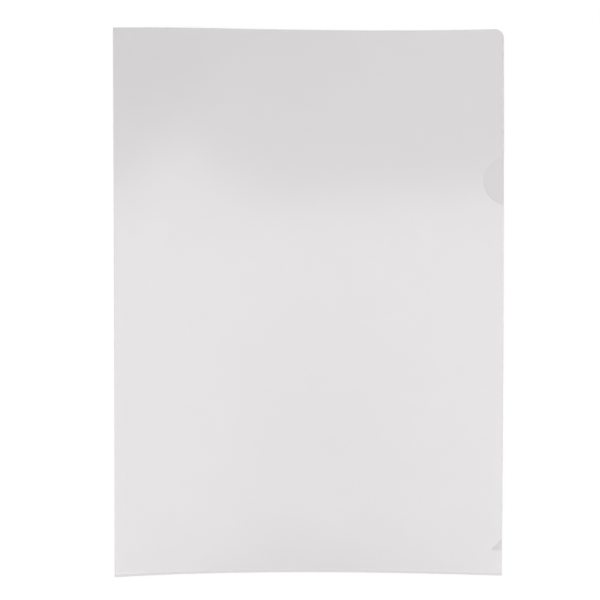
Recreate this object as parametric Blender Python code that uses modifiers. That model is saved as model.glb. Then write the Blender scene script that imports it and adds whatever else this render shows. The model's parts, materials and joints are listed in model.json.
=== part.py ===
# Clear document folder for A4 paper: one plastic film, folded at the left, welded along the bottom,
# open at the top and the right. It lies flat with its front up: +X to the open side, +Y to the top edge.
import math

import bmesh
import bpy
from mathutils import Matrix, Vector

# Film and outline
FOLDER_WIDTH = 0.220
FOLDER_HEIGHT = 0.310
FILM_THICKNESS = 0.00018
POCKET_GAP = 0.0003  # clear height between the two sheets when the folder is empty
PIECE_CLEARANCE = 0.0003  # between neighbouring pieces of film
CORNER_RADIUS = 0.005  # the free top corner of both sheets
CORNER_STEPS = 10

# Left fold, where the film turns over by half a turn round the pocket gap
FOLD_STEPS = 16

# Bottom weld
WELD_WIDTH = 0.0014
WELD_CROWN = 0.0001  # how far the bead stands above the front sheet
WELD_CORNER_RADIUS = 0.0009
WELD_CORNER_STEPS = 5
WELD_ROUNDING = 0.0002
WELD_ROUNDING_STEPS = 3

# Thumb notch in the front sheet's open side
THUMB_RADIUS = 0.0135
THUMB_DEPTH = 0.0113
THUMB_FROM_TOP = 0.0857
THUMB_STEPS = 28

# Relief cut in the front sheet, above the end of the weld
RELIEF_WIDTH = 0.0055
RELIEF_HEIGHT = 0.0065
RELIEF_FROM_BOTTOM = 0.0141

# The front sheet bends open from its free corner, along lines from the relief cut to the fold's top end
CURL_START = 0.013  # along the top edge, from the left edge to the first bend line
NOTCH_CLEARANCE = 0.0088  # from the last bend line to the thumb notch, which stays in the free corner
BEND_COUNT = 8
CUTTER_MARGIN = 0.01

# Finish
FILM_COLOUR = (0.86, 0.86, 0.865, 1.0)
WELD_COLOUR = (0.80, 0.80, 0.81, 1.0)
FILM_ROUGHNESS = 0.15
WELD_ROUGHNESS = 0.3
FILM_ALPHA = 0.35
WELD_ALPHA = 0.5

# Places that follow from the sizes above
LEFT = -FOLDER_WIDTH / 2
RIGHT = FOLDER_WIDTH / 2
BOTTOM = -FOLDER_HEIGHT / 2
TOP = FOLDER_HEIGHT / 2
FOLD_RADIUS = (POCKET_GAP + FILM_THICKNESS) / 2  # of the film's middle surface
FOLD_DEPTH = FOLD_RADIUS + FILM_THICKNESS / 2
SHEET_LEFT = LEFT + FOLD_DEPTH + PIECE_CLEARANCE
SHEET_BOTTOM = BOTTOM + WELD_WIDTH + PIECE_CLEARANCE
FRONT_BASE = FILM_THICKNESS + POCKET_GAP
STACK_HEIGHT = FRONT_BASE + FILM_THICKNESS
RELIEF_BOTTOM = BOTTOM + RELIEF_FROM_BOTTOM
RELIEF_TOP = RELIEF_BOTTOM + RELIEF_HEIGHT
THUMB_HALF_ANGLE = math.acos((THUMB_RADIUS - THUMB_DEPTH) / THUMB_RADIUS)
BEND_HEIGHT = FRONT_BASE + FILM_THICKNESS / 2
THUMB_CENTRE = Vector((RIGHT + THUMB_RADIUS - THUMB_DEPTH, TOP - THUMB_FROM_TOP, BEND_HEIGHT))
UP = Vector((0.0, 0.0, 1.0))
FIRST_BEND_TOP = Vector((LEFT + CURL_START, TOP, BEND_HEIGHT))
FIRST_BEND_SIDE = Vector((RIGHT, RELIEF_TOP, BEND_HEIGHT))
BEND_ALONG = (FIRST_BEND_SIDE - FIRST_BEND_TOP).normalized()
BEND_ACROSS = UP.cross(BEND_ALONG)  # towards the free corner
NOTCH_DISTANCE = (THUMB_CENTRE - FIRST_BEND_TOP).dot(BEND_ACROSS) - THUMB_RADIUS
BEND_PITCH = (NOTCH_DISTANCE - NOTCH_CLEARANCE) / (BEND_COUNT - 1)
CUTTER_LENGTH = FOLDER_WIDTH + FOLDER_HEIGHT


def clear_scene():
    for old in list(bpy.data.objects):
        bpy.data.objects.remove(old)


def add_collection(name):
    collection = bpy.data.collections.new(name)
    bpy.context.scene.collection.children.link(collection)
    return collection


def film_material(name, colour, roughness, alpha):
    material = bpy.data.materials.new(name)
    material.use_nodes = True
    surface = material.node_tree.nodes["Principled BSDF"]
    surface.inputs["Base Color"].default_value = colour
    surface.inputs["Roughness"].default_value = roughness
    surface.inputs["Metallic"].default_value = 0.0
    surface.inputs["Alpha"].default_value = alpha
    return material


def arc(centre, radius, first_angle, last_angle, steps):
    points = []
    for step in range(steps + 1):
        angle = first_angle + (last_angle - first_angle) * step / steps
        points.append((centre[0] + radius * math.cos(angle), centre[1] + radius * math.sin(angle)))
    return points


def free_corner():
    centre = (RIGHT - CORNER_RADIUS, TOP - CORNER_RADIUS)
    return arc(centre, CORNER_RADIUS, 0.0, math.pi / 2, CORNER_STEPS)


def back_outline():
    points = [(SHEET_LEFT, SHEET_BOTTOM), (RIGHT, SHEET_BOTTOM)]
    points += free_corner()
    points.append((SHEET_LEFT, TOP))
    return points


def front_outline():
    points = [(SHEET_LEFT, SHEET_BOTTOM), (RIGHT, SHEET_BOTTOM)]
    points += [(RIGHT, RELIEF_BOTTOM), (RIGHT - RELIEF_WIDTH, RELIEF_BOTTOM), (RIGHT, RELIEF_TOP)]
    lower_end = math.pi + THUMB_HALF_ANGLE
    upper_end = math.pi - THUMB_HALF_ANGLE
    points += arc(THUMB_CENTRE, THUMB_RADIUS, lower_end, upper_end, THUMB_STEPS)
    points += free_corner()
    points.append((SHEET_LEFT, TOP))
    return points


def weld_outline():
    weld_top = BOTTOM + WELD_WIDTH
    centre = (RIGHT - WELD_CORNER_RADIUS, BOTTOM + WELD_CORNER_RADIUS)
    points = [(LEFT, BOTTOM)]
    points += arc(centre, WELD_CORNER_RADIUS, -math.pi / 2, 0.0, WELD_CORNER_STEPS)
    points += [(RIGHT, weld_top), (LEFT, weld_top)]
    return points


def plate_mesh(name, outline, base, thickness):
    """A flat outline filled and given its thickness, standing on the height base."""
    curve = bpy.data.curves.new(name, "CURVE")
    curve.dimensions = "2D"
    curve.fill_mode = "BOTH"
    curve.extrude = thickness / 2
    spline = curve.splines.new("POLY")
    spline.points.add(len(outline) - 1)
    for point, (x, y) in zip(spline.points, outline):
        point.co = (x, y, 0.0, 1.0)
    spline.use_cyclic_u = True
    guide = bpy.data.objects.new(name, curve)
    guide.location.z = base + thickness / 2
    bpy.context.scene.collection.objects.link(guide)
    bpy.context.view_layer.update()
    seen = guide.evaluated_get(bpy.context.evaluated_depsgraph_get())
    mesh = bpy.data.meshes.new_from_object(seen)
    mesh.transform(guide.matrix_world)
    bpy.data.objects.remove(guide)
    shell = bmesh.new()
    shell.from_mesh(mesh)
    bmesh.ops.remove_doubles(shell, verts=shell.verts, dist=FILM_THICKNESS / 100)
    bmesh.ops.recalc_face_normals(shell, faces=shell.faces)
    shell.to_mesh(mesh)
    shell.free()
    return mesh


def add_part(name, mesh, material, collection):
    mesh.name = name
    part = bpy.data.objects.new(name, mesh)
    mesh.materials.clear()
    mesh.materials.append(material)
    collection.objects.link(part)
    return part


def add_back_sheet(collection):
    mesh = plate_mesh("back_sheet", back_outline(), 0.0, FILM_THICKNESS)
    finish = film_material("back_film", FILM_COLOUR, FILM_ROUGHNESS, FILM_ALPHA)
    return add_part("back_sheet", mesh, finish, collection)


def add_spine_fold(collection):
    """The film's middle surface as an open strip, bent half round, then given the film's thickness."""
    turn = (LEFT + FOLD_DEPTH, STACK_HEIGHT / 2)
    profile = arc(turn, FOLD_RADIUS, -math.pi / 2, -math.pi * 3 / 2, FOLD_STEPS)
    strip = bmesh.new()
    ring = [strip.verts.new((x, SHEET_BOTTOM, z)) for x, z in profile]
    edges = [strip.edges.new(pair) for pair in zip(ring, ring[1:])]
    swept = bmesh.ops.extrude_edge_only(strip, edges=edges)["geom"]
    moved = [piece for piece in swept if isinstance(piece, bmesh.types.BMVert)]
    bmesh.ops.translate(strip, verts=moved, vec=(0.0, TOP - SHEET_BOTTOM, 0.0))
    mesh = bpy.data.meshes.new("spine_fold")
    strip.to_mesh(mesh)
    strip.free()
    finish = film_material("fold_film", FILM_COLOUR, FILM_ROUGHNESS, FILM_ALPHA)
    fold = add_part("spine_fold", mesh, finish, collection)
    wall = fold.modifiers.new("film", "SOLIDIFY")
    wall.thickness = FILM_THICKNESS
    wall.offset = 0.0
    wall.use_even_offset = True
    return fold


def add_bottom_weld(collection):
    mesh = plate_mesh("bottom_weld", weld_outline(), 0.0, STACK_HEIGHT + WELD_CROWN)
    finish = film_material("weld_film", WELD_COLOUR, WELD_ROUGHNESS, WELD_ALPHA)
    weld = add_part("bottom_weld", mesh, finish, collection)
    rounding = weld.modifiers.new("bead", "BEVEL")
    rounding.width = WELD_ROUNDING
    rounding.segments = WELD_ROUNDING_STEPS
    rounding.limit_method = "ANGLE"
    rounding.angle_limit = math.radians(60)
    return weld


def bend_frame():
    """Where the first bend line is: X along it, Y towards the free corner, Z up."""
    frame = Matrix((BEND_ALONG, BEND_ACROSS, UP)).transposed().to_4x4()
    frame.translation = (FIRST_BEND_TOP + FIRST_BEND_SIDE) / 2
    return frame


def add_bend_lines(collection):
    """An empty on each bend line, each carried by the one before."""
    lines = []
    for number in range(1, BEND_COUNT + 1):
        line = bpy.data.objects.new(f"bend_line_{number}", None)
        line.empty_display_size = BEND_PITCH
        collection.objects.link(line)
        if lines:
            line.parent = lines[-1]
            line.location = (0.0, BEND_PITCH, 0.0)
        else:
            line.matrix_world = bend_frame()
        lines.append(line)
    bpy.context.view_layer.update()
    return lines


def keep_between(part, line, near, far, collection):
    """Cuts a part to what lies between two distances from a bend line, towards the free corner."""
    bpy.ops.mesh.primitive_cube_add(size=1.0)
    cutter = bpy.context.object
    for holder in list(cutter.users_collection):
        holder.objects.unlink(cutter)
    collection.objects.link(cutter)
    cutter.name = f"{part.name}_limits"
    size = Matrix.Diagonal((CUTTER_LENGTH, far - near, 2 * CUTTER_MARGIN, 1.0))
    cutter.data.transform(Matrix.Translation((0.0, (near + far) / 2, 0.0)) @ size)
    cutter.parent = line
    cutter.hide_render = True
    cutter.display_type = "WIRE"
    limits = part.modifiers.new("limits", "BOOLEAN")
    limits.operation = "INTERSECT"
    limits.solver = "EXACT"
    limits.object = cutter


def add_front_sheet(parts, cutters):
    sheet = plate_mesh("front_sheet", front_outline(), FRONT_BASE, FILM_THICKNESS)
    lines = add_bend_lines(parts)
    half_clearance = PIECE_CLEARANCE / 2
    reach = CUTTER_LENGTH
    base_film = film_material("front_film_base", FILM_COLOUR, FILM_ROUGHNESS, FILM_ALPHA)
    base = add_part("front_base", sheet.copy(), base_film, parts)
    keep_between(base, lines[0], -reach, -half_clearance, cutters)
    for number, line in enumerate(lines, 1):
        free = number == BEND_COUNT
        name = "front_corner" if free else f"front_bend_{number}"
        finish = film_material(f"{name}_film", FILM_COLOUR, FILM_ROUGHNESS, FILM_ALPHA)
        mesh = sheet.copy()
        mesh.transform(line.matrix_world.inverted())
        piece = add_part(name, mesh, finish, parts)
        piece.parent = line
        far = reach if free else BEND_PITCH - half_clearance
        keep_between(piece, line, half_clearance, far, cutters)
    bpy.data.meshes.remove(sheet)


def build():
    clear_scene()
    parts = add_collection("clear_folder")
    cutters = add_collection("clear_folder_cutters")
    add_back_sheet(parts)
    add_spine_fold(parts)
    add_bottom_weld(parts)
    add_front_sheet(parts, cutters)


build()
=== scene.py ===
import json
import math

import bpy
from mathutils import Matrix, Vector
from mathutils.geometry import delaunay_2d_cdt, intersect_line_line_2d


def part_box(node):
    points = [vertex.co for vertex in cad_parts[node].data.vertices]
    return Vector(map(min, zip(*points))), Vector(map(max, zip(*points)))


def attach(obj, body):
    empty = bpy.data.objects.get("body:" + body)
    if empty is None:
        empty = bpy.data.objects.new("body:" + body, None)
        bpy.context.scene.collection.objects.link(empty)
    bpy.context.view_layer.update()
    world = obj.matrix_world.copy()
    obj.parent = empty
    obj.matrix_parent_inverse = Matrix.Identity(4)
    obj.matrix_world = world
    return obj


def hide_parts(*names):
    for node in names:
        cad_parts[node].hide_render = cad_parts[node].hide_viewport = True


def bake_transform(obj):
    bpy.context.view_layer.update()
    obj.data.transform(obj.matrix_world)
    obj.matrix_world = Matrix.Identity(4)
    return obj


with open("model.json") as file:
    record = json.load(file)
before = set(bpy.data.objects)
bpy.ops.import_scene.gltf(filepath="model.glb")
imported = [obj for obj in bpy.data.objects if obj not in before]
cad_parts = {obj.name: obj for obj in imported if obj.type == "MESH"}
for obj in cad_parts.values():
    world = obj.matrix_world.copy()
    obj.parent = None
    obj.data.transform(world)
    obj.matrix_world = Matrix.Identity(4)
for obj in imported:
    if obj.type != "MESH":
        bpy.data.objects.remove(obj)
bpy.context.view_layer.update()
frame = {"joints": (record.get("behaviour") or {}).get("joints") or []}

mm = 0.001
sharpAngle = math.radians(40)
plainWhite = (1, 1, 1, 1)
mathNode = "ShaderNodeMath"
vectorNode = "ShaderNodeVectorMath"
rangeNode = "ShaderNodeMapRange"

# Places that the solids give
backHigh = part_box("back_sheet")[1]
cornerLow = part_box("front_corner")[0]
foldLow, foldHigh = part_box("spine_fold")
weldLow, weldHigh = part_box("bottom_weld")
leftEdge, rightEdge = foldLow.x, backHigh.x
bottomEdge, topEdge = weldLow.y, backHigh.y
halfWidth = (rightEdge - leftEdge) / 2
filmThickness = backHigh.z
frontRest = cornerLow.z
foldDepth = foldHigh.x - foldLow.x
weldWidth = weldHigh.y - weldLow.y

# The front leaf turns about these lines, one after the other, towards its free corner
bends = frame["joints"]
bendAlong = Vector(bends[0]["axis"])
bendAcross = Vector((0, 0, 1)).cross(bendAlong)
bendPoints = [Vector(bend["pos_m"]) for bend in bends]
bendPitch = (bendPoints[1] - bendPoints[0]).dot(bendAcross)


def addNode(tree, kind, links=None, **settings):
    node = tree.nodes.new(kind)
    for name, value in settings.items():
        setattr(node, name, value)
    for socket, value in (links or {}).items():
        if isinstance(value, bpy.types.NodeSocket):
            tree.links.new(value, node.inputs[socket])
        else:
            node.inputs[socket].default_value = value
    return node


def hexColour(text):
    channels = [int(text[i:i + 2], 16) / 255 for i in (1, 3, 5)]
    linear = [c / 12.92 if c <= 0.04045 else ((c + 0.055) / 1.055) ** 2.4 for c in channels]
    return (*linear, 1.0)


def perMetre(size):
    return 1 / (size * mm)


def newTree(name, sizes, outputs):
    tree = bpy.data.node_groups.new(name, "GeometryNodeTree")
    for label, (kind, value) in sizes.items():
        socket = tree.interface.new_socket(label, in_out="INPUT", socket_type=kind)
        if value is not None:
            socket.default_value = value
    for label, kind in outputs.items():
        tree.interface.new_socket(label, in_out="OUTPUT", socket_type=kind)
    return tree


def endTree(tree, geometry, film):
    plain = addNode(tree, "GeometryNodeRealizeInstances", {"Geometry": geometry}).outputs[0]
    coated = addNode(tree, "GeometryNodeSetMaterial", {"Geometry": plain, "Material": film}).outputs[0]
    addNode(tree, "NodeGroupOutput", {"Geometry": coated})


def bakeNodes(name, mesh, tree, sizes):
    guide = bpy.data.objects.new(name + "Guide", mesh)
    bpy.context.scene.collection.objects.link(guide)
    maker = guide.modifiers.new("shape", "NODES")
    maker.node_group = tree
    for socket in tree.interface.items_tree:
        if socket.in_out == "INPUT" and socket.name in sizes:
            maker[socket.identifier] = sizes[socket.name]
    bpy.context.view_layer.update()
    seen = guide.evaluated_get(bpy.context.evaluated_depsgraph_get())
    made = bpy.data.meshes.new_from_object(seen)
    bpy.data.objects.remove(guide)
    made.name = name
    made.shade_smooth()
    made.set_sharp_from_angle(angle=sharpAngle)
    piece = bpy.data.objects.new(name, made)
    bpy.context.scene.collection.objects.link(piece)
    return piece


# How the empty folder lies at rest: its top and bottom edges draw in, its right edge bulges,
# its lower corners curl up, and the film swells softly
restShape = {
    "Bottom Bow": 2.06 * mm,
    "Bottom Skew": -0.25,  # how much deeper a bow is towards the right
    "Top Bow": 0.9 * mm,
    "Top Skew": 1.04,
    "Bow Reach": 70 * mm,
    "Right Bow": 0.65 * mm,
    "Curl Height": 1.6 * mm,
    "Curl From": 35 * mm,
    "swells": [  # centre x and y, width, length and height in millimetres
        (-72, 120, 34, 45, 1.6),
        (70, 100, 60, 60, 0.35),
        (8, -60, 92, 84, 2.1),
    ],
}


def makeRestTree(shape):
    sizes = {label: ("NodeSocketFloat", value) for label, value in shape.items() if label != "swells"}
    tree = newTree("restShape", sizes, {"Offset": "NodeSocketVector"})
    given = addNode(tree, "NodeGroupInput").outputs
    place = addNode(tree, "GeometryNodeInputPosition").outputs[0]
    split = addNode(tree, "ShaderNodeSeparateXYZ", {0: place}).outputs
    side = addNode(tree, mathNode, {0: split["X"], 1: halfWidth}, operation="DIVIDE").outputs[0]
    sideSquared = addNode(tree, mathNode, {0: side, 1: side}, operation="MULTIPLY").outputs[0]

    # Top and bottom edges
    middle = addNode(tree, mathNode, {0: 1.0, 1: sideSquared}, operation="SUBTRACT").outputs[0]
    bows = []
    for end, upper, lower in (("Bottom", split["Y"], bottomEdge), ("Top", topEdge, split["Y"])):
        fromEdge = addNode(tree, mathNode, {0: upper, 1: lower}, operation="SUBTRACT").outputs[0]
        depth = addNode(tree, rangeNode,
                        {"Value": fromEdge, "From Max": given["Bow Reach"],
                         "To Min": given[end + " Bow"], "To Max": 0.0},
                        interpolation_type="SMOOTHSTEP").outputs[0]
        skew = addNode(tree, mathNode, {0: side, 1: given[end + " Skew"], 2: 1.0},
                       operation="MULTIPLY_ADD").outputs[0]
        bows.append(addNode(tree, mathNode, {0: depth, 1: skew}, operation="MULTIPLY").outputs[0])
    bow = addNode(tree, mathNode, {0: bows[0], 1: bows[1]}, operation="SUBTRACT").outputs[0]
    bowY = addNode(tree, mathNode, {0: bow, 1: middle}, operation="MULTIPLY").outputs[0]

    # Right edge
    level = addNode(tree, mathNode, {0: split["Y"], 1: topEdge}, operation="DIVIDE").outputs[0]
    levelSquared = addNode(tree, mathNode, {0: level, 1: level}, operation="MULTIPLY").outputs[0]
    midHeight = addNode(tree, mathNode, {0: 1.0, 1: levelSquared}, operation="SUBTRACT").outputs[0]
    rightOnly = addNode(tree, mathNode, {0: side, 1: 0.0}, operation="MAXIMUM").outputs[0]
    rightShare = addNode(tree, mathNode, {0: rightOnly, 1: rightOnly}, operation="MULTIPLY").outputs[0]
    bulge = addNode(tree, mathNode, {0: rightShare, 1: midHeight}, operation="MULTIPLY").outputs[0]
    bowX = addNode(tree, mathNode, {0: bulge, 1: given["Right Bow"]}, operation="MULTIPLY").outputs[0]

    # Lower corners and swells
    below = addNode(tree, mathNode, {0: 0.0, 1: split["Y"]}, operation="SUBTRACT").outputs[0]
    curl = addNode(tree, rangeNode,
                   {"Value": below, "From Min": given["Curl From"], "From Max": -bottomEdge,
                    "To Max": given["Curl Height"]}).outputs[0]
    curlShare = addNode(tree, mathNode, {0: curl, 1: given["Curl Height"]},
                        operation="DIVIDE").outputs[0]
    curlSoft = addNode(tree, mathNode, {0: curl, 1: curlShare}, operation="MULTIPLY").outputs[0]
    lift = addNode(tree, mathNode, {0: curlSoft, 1: sideSquared}, operation="MULTIPLY").outputs[0]
    for x, y, width, length, height in shape["swells"]:
        away = addNode(tree, vectorNode, {0: place, 1: (x * mm, y * mm, 0)},
                       operation="SUBTRACT").outputs[0]
        share = addNode(tree, vectorNode, {0: away, 1: (perMetre(width), perMetre(length), 0)},
                        operation="MULTIPLY").outputs[0]
        square = addNode(tree, vectorNode, {0: share, 1: share},
                         operation="DOT_PRODUCT").outputs["Value"]
        fall = addNode(tree, mathNode, {0: square, 1: -1.0}, operation="MULTIPLY").outputs[0]
        dome = addNode(tree, mathNode, {0: fall}, operation="EXPONENT").outputs[0]
        lift = addNode(tree, mathNode, {0: dome, 1: height * mm, 2: lift},
                       operation="MULTIPLY_ADD").outputs[0]
    offset = addNode(tree, "ShaderNodeCombineXYZ", {"X": bowX, "Y": bowY, "Z": lift}).outputs[0]
    addNode(tree, "NodeGroupOutput", {"Offset": offset})
    return tree


# Film
filmLook = {
    "cloud": 55,  # millimetres across a patch of slightly denser film
    "cloudRange": (0.2, 0.8),  # shares of the way from dense to thin
    "handled": 24,  # millimetres across a patch that handling has dulled
    "handledRange": (0.3, 0.7),  # noise values at which the film is at its brightest and its dullest
    "slantPower": 2.0,  # higher keeps the slanted tint to flatter angles
    "rimHeadOn": 0.04,  # how much of the painted shade along a cut edge is left when seen straight on
    "grain": 0.6,  # millimetres: the roller's grain is finer, drawn as coarse as it needs to show
    "grainDepth": 0.001 * mm,
    "grainStrength": 0.1,
}


def filmMaterial(name, look):
    # Cast polypropylene film: clear with a grey cast that deepens at a slant, soft-edged
    # reflections, a faint haze
    material = bpy.data.materials.new(name)
    material.use_nodes = True
    tree = material.node_tree
    tree.nodes.clear()
    place = addNode(tree, "ShaderNodeTexCoord").outputs["Object"]
    facing = addNode(tree, "ShaderNodeLayerWeight", {"Blend": 0.5}).outputs["Facing"]

    # Tint, with painted shade along a cut edge: a dark line that grows at a slant
    slant = addNode(tree, mathNode, {0: facing, 1: filmLook["slantPower"]}, operation="POWER").outputs[0]
    cloud = addNode(tree, "ShaderNodeTexNoise",
                    {"Vector": place, "Scale": perMetre(filmLook["cloud"]), "Detail": 2.0}).outputs["Fac"]
    least, most = filmLook["cloudRange"]
    density = addNode(tree, rangeNode, {"Value": cloud, "To Min": least, "To Max": most}).outputs[0]
    faceOn = addNode(tree, "ShaderNodeMix",
                     {"Factor": density, 6: hexColour(look["dense"]), 7: hexColour(look["thin"])},
                     data_type="RGBA").outputs[2]
    tint = addNode(tree, "ShaderNodeMix", {"Factor": slant, 6: faceOn, 7: hexColour(look["slanted"])},
                   data_type="RGBA").outputs[2]
    cut = addNode(tree, "ShaderNodeAttribute", attribute_name="rim").outputs["Fac"]
    headOnLine = filmLook["rimHeadOn"]
    paintedEdgeShadeShare = addNode(tree, mathNode, {0: facing, 1: 1 - headOnLine, 2: headOnLine},
                    operation="MULTIPLY_ADD").outputs[0]
    line = addNode(tree, mathNode, {0: cut, 1: paintedEdgeShadeShare}, operation="MULTIPLY").outputs[0]
    edged = addNode(tree, "ShaderNodeMix", {"Factor": line, 6: tint, 7: hexColour(look["rim"])},
                    data_type="RGBA").outputs[2]

    # Surface
    handled = addNode(tree, "ShaderNodeTexNoise",
                      {"Vector": place, "Scale": perMetre(filmLook["handled"]),
                       "Detail": 3.0}).outputs["Fac"]
    least, most = filmLook["handledRange"]
    rough = addNode(tree, rangeNode,
                    {"Value": handled, "From Min": least, "From Max": most,
                     "To Min": look["bright"], "To Max": look["dull"]}).outputs[0]
    grain = addNode(tree, "ShaderNodeTexNoise",
                    {"Vector": place, "Scale": perMetre(filmLook["grain"]), "Detail": 1.0}).outputs["Fac"]
    relief = addNode(tree, "ShaderNodeBump",
                     {"Height": grain, "Strength": filmLook["grainStrength"],
                      "Distance": filmLook["grainDepth"]}).outputs[0]

    # Clear body with a little haze, under a reflection that grows with the fifth power of the slant
    through = addNode(tree, "ShaderNodeBsdfTransparent", {"Color": edged}).outputs[0]
    milk = addNode(tree, "ShaderNodeBsdfDiffuse",
                   {"Color": hexColour(look["milk"]), "Normal": relief}).outputs[0]
    body = addNode(tree, "ShaderNodeMixShader", {0: look["haze"], 1: through, 2: milk}).outputs[0]
    gloss = addNode(tree, "ShaderNodeBsdfAnisotropic",
                    {"Color": plainWhite, "Roughness": rough, "Normal": relief}).outputs[0]
    headOn = ((look["ior"] - 1) / (look["ior"] + 1)) ** 2
    glance = addNode(tree, mathNode, {0: facing, 1: 5.0}, operation="POWER").outputs[0]
    shine = addNode(tree, mathNode, {0: glance, 1: 1 - headOn, 2: headOn},
                    operation="MULTIPLY_ADD").outputs[0]
    film = addNode(tree, "ShaderNodeMixShader", {0: shine, 1: body, 2: gloss}).outputs[0]

    # Walls where the film runs on into the next piece don't show
    clear = addNode(tree, "ShaderNodeBsdfTransparent").outputs[0]
    join = addNode(tree, "ShaderNodeAttribute", attribute_name="join").outputs["Fac"]
    whole = addNode(tree, "ShaderNodeMixShader", {0: join, 1: film, 2: clear}).outputs[0]
    addNode(tree, "ShaderNodeOutputMaterial", {"Surface": whole})
    return material


# Both leaves
leafCut = {
    "cornerRadius": 5 * mm,
    "cornerSteps": 14,
    "notchRadius": 13.5 * mm,
    "notchDepth": 11.3 * mm,
    "notchFromTop": 85.7 * mm,
    "notchSteps": 36,
    "reliefWidth": 5.9 * mm,
    "reliefHeight": 6.9 * mm,
    "reliefFromBottom": 14.5 * mm,
    "seam": 0.02 * mm,  # between a leaf and the fold or the weld
    "edgeStep": 4 * mm,
    "rimWidth": 0.45 * mm,  # of a cut edge's dark line of painted shade
    "rimInside": 0.8,  # points that close the line stay this many widths inside the edge
    "rimClear": 2.2,  # points in the rows stay this many widths inside the edge
    "inwardTurn": -0.5,  # sine of the turn past which a corner counts as cut inwards
    "sameWithin": 1e-7,  # metres between points of the flat leaf that count as one
    "mergeWithin": 0.001 * mm,  # where its walls meet its underside
}
leafLeft = leftEdge + foldDepth + leafCut["seam"]
leafBottom = bottomEdge + weldWidth + leafCut["seam"]


def makeLeafTree(restTree):
    sizes = {
        "Geometry": ("NodeSocketGeometry", None),
        "Thickness": ("NodeSocketFloat", filmThickness),
        "Rest Height": ("NodeSocketFloat", 0.0),
        "Gap": ("NodeSocketFloat", 0.0),
        "Gap Run": ("NodeSocketFloat", 70 * mm),  # the gap is full this far from the fold and the weld
        "Whole Film": ("NodeSocketFloat", 0.75),  # a wall with less rim than this is no cut edge
        "Film": ("NodeSocketMaterial", None),
    }
    tree = newTree("filmLeaf", sizes, {"Geometry": "NodeSocketGeometry"})
    given = addNode(tree, "NodeGroupInput").outputs
    rest = addNode(tree, "GeometryNodeGroup", node_tree=restTree).outputs[0]
    place = addNode(tree, "GeometryNodeInputPosition").outputs[0]
    split = addNode(tree, "ShaderNodeSeparateXYZ", {0: place}).outputs
    opens = []
    for axis, edge in (("X", leftEdge), ("Y", bottomEdge)):
        fromEdge = addNode(tree, mathNode, {0: split[axis], 1: edge}, operation="SUBTRACT").outputs[0]
        opens.append(addNode(tree, rangeNode, {"Value": fromEdge, "From Max": given["Gap Run"]},
                             interpolation_type="SMOOTHSTEP").outputs[0])
    openShare = addNode(tree, mathNode, {0: opens[0], 1: opens[1]}, operation="MULTIPLY").outputs[0]
    height = addNode(tree, mathNode, {0: openShare, 1: given["Gap"], 2: given["Rest Height"]},
                     operation="MULTIPLY_ADD").outputs[0]
    raised = addNode(tree, "ShaderNodeCombineXYZ", {"Z": height}).outputs[0]
    offset = addNode(tree, vectorNode, {0: rest, 1: raised}, operation="ADD").outputs[0]
    under = addNode(tree, "GeometryNodeSetPosition",
                    {"Geometry": given["Geometry"], "Offset": offset}).outputs[0]
    upper = addNode(tree, "GeometryNodeExtrudeMesh",
                    {"Mesh": under, "Offset": (0, 0, 1), "Offset Scale": given["Thickness"],
                     "Individual": False}).outputs
    cut = addNode(tree, "GeometryNodeInputNamedAttribute", {"Name": "rim"}).outputs[0]
    cutFace = addNode(tree, "GeometryNodeFieldOnDomain", {0: cut}, domain="FACE").outputs[0]
    whole = addNode(tree, "FunctionNodeCompare", {0: cutFace, 1: given["Whole Film"]},
                    operation="LESS_THAN").outputs[0]
    joined = addNode(tree, "FunctionNodeBooleanMath", {0: upper["Side"], 1: whole}).outputs[0]
    marked = addNode(tree, "GeometryNodeStoreNamedAttribute",
                     {"Geometry": upper["Mesh"], "Selection": joined, "Name": "join", "Value": 1.0},
                     domain="FACE").outputs[0]
    turned = addNode(tree, "GeometryNodeFlipFaces", {"Mesh": under}).outputs[0]
    both = addNode(tree, "GeometryNodeJoinGeometry")
    tree.links.new(marked, both.inputs[0])
    tree.links.new(turned, both.inputs[0])
    closed = addNode(tree, "GeometryNodeMergeByDistance",
                     {"Geometry": both.outputs[0], "Distance": leafCut["mergeWithin"]}).outputs[0]
    endTree(tree, closed, given["Film"])
    return tree


def arc(centreX, centreY, radius, firstAngle, lastAngle, steps):
    angles = [firstAngle + (lastAngle - firstAngle) * step / steps for step in range(steps + 1)]
    return [Vector((centreX + radius * math.cos(a), centreY + radius * math.sin(a))) for a in angles]


def freeCorner():
    radius = leafCut["cornerRadius"]
    return arc(rightEdge - radius, topEdge - radius, radius, 0, math.pi / 2, leafCut["cornerSteps"])


def backOutline():
    return [Vector((leafLeft, leafBottom)), Vector((rightEdge, leafBottom)), *freeCorner(),
            Vector((leafLeft, topEdge))]


def frontOutline():
    reliefBottom = bottomEdge + leafCut["reliefFromBottom"]
    reliefTop = reliefBottom + leafCut["reliefHeight"]
    points = [Vector((leafLeft, leafBottom)), Vector((rightEdge, leafBottom)),
              Vector((rightEdge, reliefBottom)),
              Vector((rightEdge - leafCut["reliefWidth"], reliefBottom)),
              Vector((rightEdge, reliefTop))]
    radius = leafCut["notchRadius"]
    inset = radius - leafCut["notchDepth"]
    half = math.acos(inset / radius)
    points += arc(rightEdge + inset, topEdge - leafCut["notchFromTop"], radius, math.pi + half,
                  math.pi - half, leafCut["notchSteps"])
    return points + freeCorner() + [Vector((leafLeft, topEdge))]


def stepAlong(points, step):
    walked = []
    for here, there in zip(points, points[1:] + points[:1]):
        count = max(1, math.ceil((there - here).length / step))
        walked += [here.lerp(there, i / count) for i in range(count)]
    return walked


def lineDistance(point, start, end):
    run = end - start
    share = max(0.0, min(1.0, (point - start).dot(run) / run.length_squared))
    return (point - start - run * share).length


def edgeDistance(point, outline):
    # Positive inside the outline
    nearest = math.inf
    inside = False
    for a, b in zip(outline, outline[1:] + outline[:1]):
        nearest = min(nearest, lineDistance(point, a, b))
        if (a.y > point.y) != (b.y > point.y):
            crossing = a.x + (point.y - a.y) / (b.y - a.y) * (b.x - a.x)
            inside = inside != (point.x < crossing)
    return nearest if inside else -nearest


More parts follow.
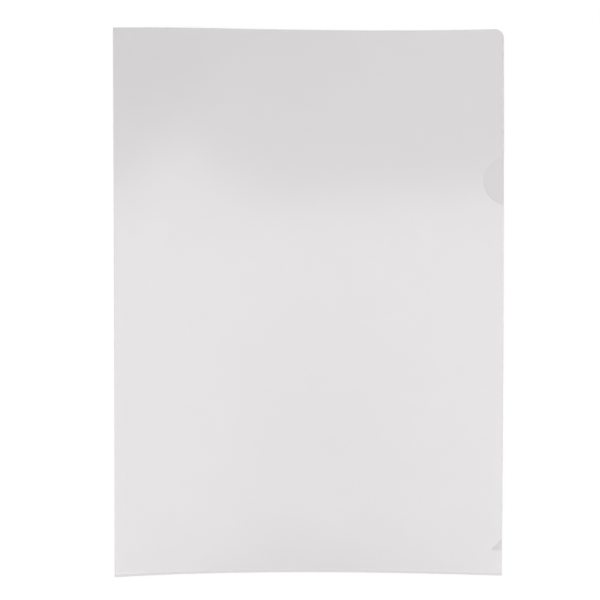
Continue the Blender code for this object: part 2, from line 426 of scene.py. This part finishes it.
def rimPoints(border, outline):
    # The inner side of a cut edge's dark line: three points round a corner that is cut inwards
    rim = leafCut["rimWidth"]
    points = []
    for before, here, after in zip(border[-1:] + border[:-1], border, border[1:] + border[:1]):
        comes = (here - before).normalized()
        goes = (after - here).normalized()
        sides = [Vector((-comes.y, comes.x)), Vector((-goes.y, goes.x))]
        between = sides[0] + sides[1]
        if comes.cross(goes) < leafCut["inwardTurn"]:
            steps = [*sides, between.normalized()]
        else:
            steps = [between / (1 + sides[0].dot(sides[1]))]
        inner = [here + step * rim for step in steps]
        points += [p for p in inner if edgeDistance(p, outline) > leafCut["rimInside"] * rim]
    return points


def flatLeaf(outline, rows, seams, across, along, alongStep):
    # A flat triangle mesh of the outline, with points in rows that run along the bend lines
    rim = leafCut["rimWidth"]
    border = stepAlong(outline, leafCut["edgeStep"])
    points = border + rimPoints(border, outline)
    reach = [along.dot(p) for p in outline]
    count = math.ceil((max(reach) - min(reach)) / alongStep) + 1
    marks = [min(reach) + alongStep * i for i in range(count)]
    for row in rows:
        inRow = [across * row + along * mark for mark in marks]
        points += [p for p in inRow if edgeDistance(p, outline) > leafCut["rimClear"] * rim]
    edges = []
    for seam in seams:
        line = [across * seam + along * mark for mark in (marks[0] - alongStep, marks[-1])]
        ends = []
        for a, b in zip(outline, outline[1:] + outline[:1]):
            meet = intersect_line_line_2d(a, b, *line)
            if meet:
                depth = rim / abs((b - a).normalized().cross(along))
                ends += [along.dot(meet) - depth, along.dot(meet) + depth]
        stops = ends + [mark for mark in marks if all(abs(mark - end) > 2 * rim for end in ends)]
        first = len(points)
        points += [line[0]] + [across * seam + along * stop for stop in sorted(stops)]
        edges += [(i, i + 1) for i in range(first, len(points) - 1)]
    loop = list(range(len(border)))
    cut = delaunay_2d_cdt(points, edges, [loop], 0, leafCut["sameWithin"], True)
    corners, _, triangles, _, _, owners = cut
    kept = [t for t, owner in zip(triangles, owners) if owner]
    return [Vector(c) for c in corners], kept


def leafMesh(name, corners, triangles, outline):
    used = sorted({i for t in triangles for i in t})
    place = {old: new for new, old in enumerate(used)}
    mesh = bpy.data.meshes.new(name)
    mesh.from_pydata([(*corners[i], 0) for i in used], [], [[place[i] for i in t] for t in triangles])
    rim = mesh.attributes.new("rim", "FLOAT", "POINT")
    cutEdge = outline[1:]  # from the weld's right end round to the fold's top
    for item, i in zip(rim.data, used):
        nearest = min(lineDistance(corners[i], a, b) for a, b in zip(cutEdge, cutEdge[1:]))
        item.value = max(0.0, 1 - nearest / leafCut["rimWidth"])
    return mesh


# Back leaf
# The back leaf is the same clear film as the front: its grey dense, thin and slanted tints are painted
# shade, standing in for the shade on the floor under the folder
backLeaf = {
    "cell": 5 * mm,
    "dense": "#eeeded", "thin": "#efedee", "slanted": "#e2e1e1", "rim": "#b4b4b4",
    "milk": "#f2f2f2", "haze": 0.01, "dull": 0.84, "bright": 0.76, "ior": 1.49,
}


def addBackLeaf(leafTree):
    outline = backOutline()
    cell = backLeaf["cell"]
    rows = [leftEdge + cell * (i + 0.5) for i in range(int((rightEdge - leftEdge) / cell))]
    corners, triangles = flatLeaf(outline, rows, [], Vector((1, 0)), Vector((0, 1)), cell)
    film = filmMaterial("clearPolypropyleneFilmPaintedShade", backLeaf)
    mesh = leafMesh("backLeaf", corners, triangles, outline)
    leaf = bakeNodes("backLeaf", mesh, leafTree, {"Film": film})
    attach(leaf, "pocket")
    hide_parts("back_sheet")


# Front leaf: one film, cut into eight pieces along seams between its bend lines
frontLeaf = {
    "rowsPerPitch": 6,
    "alongStep": 6 * mm,
    "nearSeam": 0.4 * mm,
    "gap": 0.4 * mm,
    "band": 1.366,  # half of a bend's reach, in pitches: its neighbours then join without a crease
    "endBand": (-0.6, 1.1392),  # the first bend's reach; the last one's is the same, turned round
    "endSeam": 0.8469,
    "dense": "#fefefe", "thin": "#ffffff", "slanted": "#f8f8f8", "rim": "#b8b8b8",
    "milk": "#f2f2f2", "haze": 0.015, "dull": 0.17, "bright": 0.14,
    "ior": 1.72,  # matched to the photo: this leaf looks glossier than polypropylene's 1.49
}


def addFrontLeaf(leafTree):
    outline = frontOutline()
    across, along = bendAcross.xy, bendAlong.xy
    start = bendPoints[0].dot(bendAcross)
    count = len(bends)
    endSeam = frontLeaf["endSeam"]
    shares = [endSeam] + [i + 0.5 for i in range(1, count - 2)] + [count - 1 - endSeam]
    seams = [start + share * bendPitch for share in shares]
    rowStep = bendPitch / frontLeaf["rowsPerPitch"]
    reach = [across.dot(p) for p in outline]
    firstRow = math.floor((min(reach) - start) / rowStep)
    lastRow = math.ceil((max(reach) - start) / rowStep)
    rows = [start + rowStep * i for i in range(firstRow, lastRow + 1)]
    near = frontLeaf["nearSeam"]
    rows = [row for row in rows if all(abs(row - seam) > 2 * near for seam in seams)]
    rows += [seam + side * near for seam in seams for side in (-1, 1)]
    corners, triangles = flatLeaf(outline, rows, seams, across, along, frontLeaf["alongStep"])
    film = filmMaterial("clearPolypropyleneFilm", frontLeaf)
    strips = [[] for _ in bends]
    for triangle in triangles:
        middle = sum(across.dot(corners[i]) for i in triangle) / 3
        strips[sum(middle > seam for seam in seams)].append(triangle)
    sizes = {"Rest Height": frontRest, "Gap": frontLeaf["gap"], "Film": film}
    for i, (bend, strip) in enumerate(zip(bends, strips)):
        name = f"frontLeaf{i + 1}"
        leaf = bakeNodes(name, leafMesh(name, corners, strip, outline), leafTree, sizes)
        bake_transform(leaf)
        nodes = [f"front_bend_{i + 1}"]
        if i == 0:
            nodes = ["front_base", "front_bend_1"]
        if i == count - 1:
            nodes = ["front_corner"]
        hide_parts(*nodes)


# Left fold: the film's half turn, swept up the left edge
spineFold = {
    "turnSteps": 14,
    "rowStep": 5 * mm,
    "dense": "#f1f0f0", "thin": "#f3f2f2", "slanted": "#ebeaea", "rim": "#f0f0f0",
    "milk": "#f2f2f2", "haze": 0.01, "dull": 0.19, "bright": 0.15, "ior": 1.49,
}


def makeFoldTree(restTree):
    sizes = {"Geometry": ("NodeSocketGeometry", None), "Film": ("NodeSocketMaterial", None)}
    tree = newTree("foldedEdge", sizes, {"Geometry": "NodeSocketGeometry"})
    given = addNode(tree, "NodeGroupInput").outputs
    rest = addNode(tree, "GeometryNodeGroup", node_tree=restTree).outputs[0]
    settled = addNode(tree, "GeometryNodeSetPosition",
                      {"Geometry": given["Geometry"], "Offset": rest}).outputs[0]
    endTree(tree, settled, given["Film"])
    return tree


def addSpineFold(restTree):
    rows = math.ceil((topEdge - leafBottom) / spineFold["rowStep"])
    heights = [leafBottom + (topEdge - leafBottom) * i / rows for i in range(rows + 1)]
    centre = leftEdge + foldDepth
    under, over = -math.pi / 2, -math.pi * 3 / 2
    steps = spineFold["turnSteps"]
    outer = arc(centre, foldDepth, foldDepth, under, over, steps)
    inner = arc(centre, foldDepth, foldDepth - filmThickness, over, under, steps)
    ring = outer + inner
    points = [(p.x, y, p.y) for y in heights for p in ring]
    size = len(ring)
    faces = []
    for row in range(rows):
        for i in range(size):
            a = row * size + i
            b = row * size + (i + 1) % size
            faces.append((a, b, b + size, a + size))
    for row, flip in ((0, -1), (rows, 1)):  # the two ends
        for i in range(len(outer) - 1):
            face = [row * size + k for k in (i, i + 1, size - 2 - i, size - 1 - i)]
            faces.append(face[::flip])
    mesh = bpy.data.meshes.new("spineFold")
    mesh.from_pydata(points, [], faces)
    mesh.attributes.new("rim", "FLOAT", "POINT")
    film = filmMaterial("foldedPolypropyleneFilm", spineFold)
    fold = bakeNodes("spineFold", mesh, makeFoldTree(restTree), {"Film": film})
    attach(fold, "pocket")
    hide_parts("spine_fold")


# Bottom weld
bottomWeld = {
    "steps": 220,
    "rounding": 0.25 * mm,
    "roundingSteps": 4,
    "ripple": 0.05,  # share of the bead's girth
    "rippleLength": 14 * mm,
    "dense": "#edecec", "thin": "#eeeded", "slanted": "#e4e3e3", "rim": "#ececec",
    "milk": "#f2f2f2", "haze": 0.03, "dull": 0.36, "bright": 0.28, "ior": 1.49,
}


def makeWeldTree(restTree):
    sizes = {
        "Geometry": ("NodeSocketGeometry", None),
        "Width": ("NodeSocketFloat", weldWidth),
        "Height": ("NodeSocketFloat", weldHigh.z),
        "Rounding": ("NodeSocketFloat", bottomWeld["rounding"]),
        "Ripple": ("NodeSocketFloat", bottomWeld["ripple"]),
        "Ripple Length": ("NodeSocketFloat", bottomWeld["rippleLength"]),
        "Film": ("NodeSocketMaterial", None),
    }
    tree = newTree("weldBead", sizes, {"Geometry": "NodeSocketGeometry"})
    given = addNode(tree, "NodeGroupInput").outputs
    rest = addNode(tree, "GeometryNodeGroup", node_tree=restTree).outputs[0]
    path = addNode(tree, "GeometryNodeMeshToCurve", {"Mesh": given["Geometry"]}).outputs[0]
    upright = addNode(tree, "GeometryNodeSetCurveNormal", {"Curve": path}, mode="Z_UP").outputs[0]
    place = addNode(tree, "GeometryNodeInputPosition").outputs[0]
    scale = addNode(tree, mathNode, {0: 1.0, 1: given["Ripple Length"]}, operation="DIVIDE").outputs[0]
    noise = addNode(tree, "ShaderNodeTexNoise",
                    {"Vector": place, "Scale": scale, "Detail": 1.0}).outputs[0]
    wave = addNode(tree, mathNode, {0: noise, 1: 0.5}, operation="SUBTRACT").outputs[0]
    girth = addNode(tree, mathNode, {0: wave, 1: given["Ripple"], 2: 1.0},
                    operation="MULTIPLY_ADD").outputs[0]
    rippled = addNode(tree, "GeometryNodeSetCurveRadius",
                      {"Curve": upright, "Radius": girth}).outputs[0]
    section = addNode(tree, "GeometryNodeCurvePrimitiveQuadrilateral",
                      {"Width": given["Width"], "Height": given["Height"]}).outputs[0]
    rounded = addNode(tree, "GeometryNodeFilletCurve",
                      {"Curve": section, "Radius": given["Rounding"],
                       "Count": bottomWeld["roundingSteps"]}, mode="POLY").outputs[0]
    bead = addNode(tree, "GeometryNodeCurveToMesh",
                   {"Curve": rippled, "Profile Curve": rounded, "Fill Caps": True}).outputs[0]
    settled = addNode(tree, "GeometryNodeSetPosition", {"Geometry": bead, "Offset": rest}).outputs[0]
    endTree(tree, settled, given["Film"])
    return tree


def addBottomWeld(restTree):
    middle = bottomEdge + weldWidth / 2
    steps = bottomWeld["steps"]
    across = [leftEdge + (rightEdge - leftEdge) * i / steps for i in range(steps + 1)]
    mesh = bpy.data.meshes.new("bottomWeld")
    points = [(x, middle, weldHigh.z / 2) for x in across]
    mesh.from_pydata(points, [(i, i + 1) for i in range(steps)], [])
    film = filmMaterial("weldedPolypropylene", bottomWeld)
    weld = bakeNodes("bottomWeld", mesh, makeWeldTree(restTree), {"Film": film})
    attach(weld, "pocket")
    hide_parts("bottom_weld")


restTree = makeRestTree(restShape)
leafTree = makeLeafTree(restTree)
addBackLeaf(leafTree)
print("back leaf made")
addFrontLeaf(leafTree)
print("front leaf made")
addSpineFold(restTree)
addBottomWeld(restTree)
print("fold and weld made")

# Stage
stage = {
    "floorSize": 8.0,
    "floorDrop": 0.1 * mm,
    "floorColour": "#8c8c8c",
    "floorGlow": 0.78,
    "roomLight": 0.77,
    "dimPatches": [  # of ceiling, mirrored by the film: direction, cosines of reach, how much dimmer
        ((-0.2, 0.42, 0.885), (0.93, 0.98), 0.29),
        ((0.04, -0.333, 0.942), (0.975, 1.0), 0.16),
        ((0.042, -0.124, 0.991), (0.98, 1.0), 0.22),
    ],
    "wallPanels": 9,  # lighter panels round the room, which the film mirrors at a slant
    "panelGap": 0.5,  # how much dimmer the room is between them
    "panelTurn": 0.8,  # their phase round the room, in radians
    "panelTops": (0.75, 0.5),  # heights on a unit sphere between which they fade in, downwards
    "softbox": ((0.03, -0.165, 1.0), 1.1, 0.64, 1.76),  # centre, width, length and power
}


def seenDirectly(tree):
    path = addNode(tree, "ShaderNodeLightPath").outputs
    first = addNode(tree, mathNode, {0: path["Is Camera Ray"], 1: path["Is Glossy Ray"]},
                    operation="MAXIMUM").outputs[0]
    return addNode(tree, mathNode, {0: first, 1: path["Is Transmission Ray"]},
                   operation="MAXIMUM").outputs[0]


def addFloor():
    half = stage["floorSize"] / 2
    level = -stage["floorDrop"]
    mesh = bpy.data.meshes.new("floor")
    mesh.from_pydata([(x * half, y * half, level) for x, y in ((-1, -1), (1, -1), (1, 1), (-1, 1))], [],
                     [(0, 1, 2, 3)])
    material = bpy.data.materials.new("palePaperFloor")
    material.use_nodes = True
    tree = material.node_tree
    tree.nodes.clear()
    # Matt paper that keeps the shadows, and looks white all round
    paper = addNode(tree, "ShaderNodeBsdfDiffuse", {"Color": hexColour(stage["floorColour"])}).outputs[0]
    strength = addNode(tree, mathNode, {0: seenDirectly(tree), 1: stage["floorGlow"]},
                       operation="MULTIPLY").outputs[0]
    glow = addNode(tree, "ShaderNodeEmission", {"Strength": strength}).outputs[0]
    both = addNode(tree, "ShaderNodeAddShader", {0: paper, 1: glow}).outputs[0]
    addNode(tree, "ShaderNodeOutputMaterial", {"Surface": both})
    mesh.materials.append(material)
    floor = bpy.data.objects.new("floor", mesh)
    bpy.context.scene.collection.objects.link(floor)


def addRoom():
    world = bpy.data.worlds.new("studio")
    bpy.context.scene.world = world
    world.use_nodes = True
    tree = world.node_tree
    tree.nodes.clear()
    toward = addNode(tree, "ShaderNodeTexCoord").outputs["Generated"]
    dims = []
    for patch, (outer, inner), share in stage["dimPatches"]:
        nearness = addNode(tree, vectorNode, {0: toward, 1: patch},
                           operation="DOT_PRODUCT").outputs["Value"]
        dims.append(addNode(tree, rangeNode,
                            {"Value": nearness, "From Min": outer, "From Max": inner, "To Max": share},
                            interpolation_type="SMOOTHSTEP").outputs[0])
    heading = addNode(tree, "ShaderNodeSeparateXYZ", {0: toward}).outputs
    bearing = addNode(tree, mathNode, {0: heading["Y"], 1: heading["X"]},
                      operation="ARCTAN2").outputs[0]
    turns = addNode(tree, mathNode, {0: bearing, 1: stage["wallPanels"], 2: stage["panelTurn"]},
                    operation="MULTIPLY_ADD").outputs[0]
    wave = addNode(tree, mathNode, {0: turns}, operation="COSINE").outputs[0]
    gap = addNode(tree, rangeNode,
                  {"Value": wave, "From Min": -1.0, "To Max": stage["panelGap"]}).outputs[0]
    fadeTop, fadeEnd = stage["panelTops"]
    onWall = addNode(tree, rangeNode,
                     {"Value": heading["Z"], "From Min": fadeTop, "From Max": fadeEnd},
                     interpolation_type="SMOOTHSTEP").outputs[0]
    dims.append(addNode(tree, mathNode, {0: gap, 1: onWall}, operation="MULTIPLY").outputs[0])
    mirrored = addNode(tree, "ShaderNodeLightPath").outputs["Is Glossy Ray"]
    level = 1.0
    for dim in dims:
        less = addNode(tree, mathNode, {0: dim, 1: mirrored}, operation="MULTIPLY").outputs[0]
        level = addNode(tree, mathNode, {0: level, 1: less}, operation="SUBTRACT").outputs[0]
    seen = addNode(tree, "ShaderNodeBackground", {"Color": plainWhite, "Strength": level}).outputs[0]
    lit = addNode(tree, "ShaderNodeBackground",
                  {"Color": plainWhite, "Strength": stage["roomLight"]}).outputs[0]
    mixed = addNode(tree, "ShaderNodeMixShader", {0: seenDirectly(tree), 1: lit, 2: seen}).outputs[0]
    addNode(tree, "ShaderNodeOutputWorld", {"Surface": mixed})


def addSoftbox():
    centre, width, length, power = stage["softbox"]
    lamp = bpy.data.lights.new("softbox", "AREA")
    lamp.shape = "RECTANGLE"
    lamp.size = width
    lamp.size_y = length
    lamp.energy = power
    box = bpy.data.objects.new("softbox", lamp)
    box.location = centre
    box.visible_camera = False
    bpy.context.scene.collection.objects.link(box)


# Camera, nearly straight above
view = {
    "place": (-12.93 * mm, 13.96 * mm, 550 * mm),
    "tilt": (-1.244, -0.830, 0.010),  # degrees
    "sensor": 36,
    "lens": 58.235,
    "nearest": 10 * mm,
}


def addCamera():
    lens = bpy.data.cameras.new("camera")
    lens.sensor_width = view["sensor"]
    lens.lens = view["lens"]
    lens.clip_start = view["nearest"]
    camera = bpy.data.objects.new("camera", lens)
    camera.location = view["place"]
    camera.rotation_euler = [math.radians(angle) for angle in view["tilt"]]
    bpy.context.scene.collection.objects.link(camera)
    bpy.context.scene.camera = camera


addFloor()
addRoom()
addSoftbox()
addCamera()
bpy.context.scene.view_settings.view_transform = "Standard"
print("stage set")
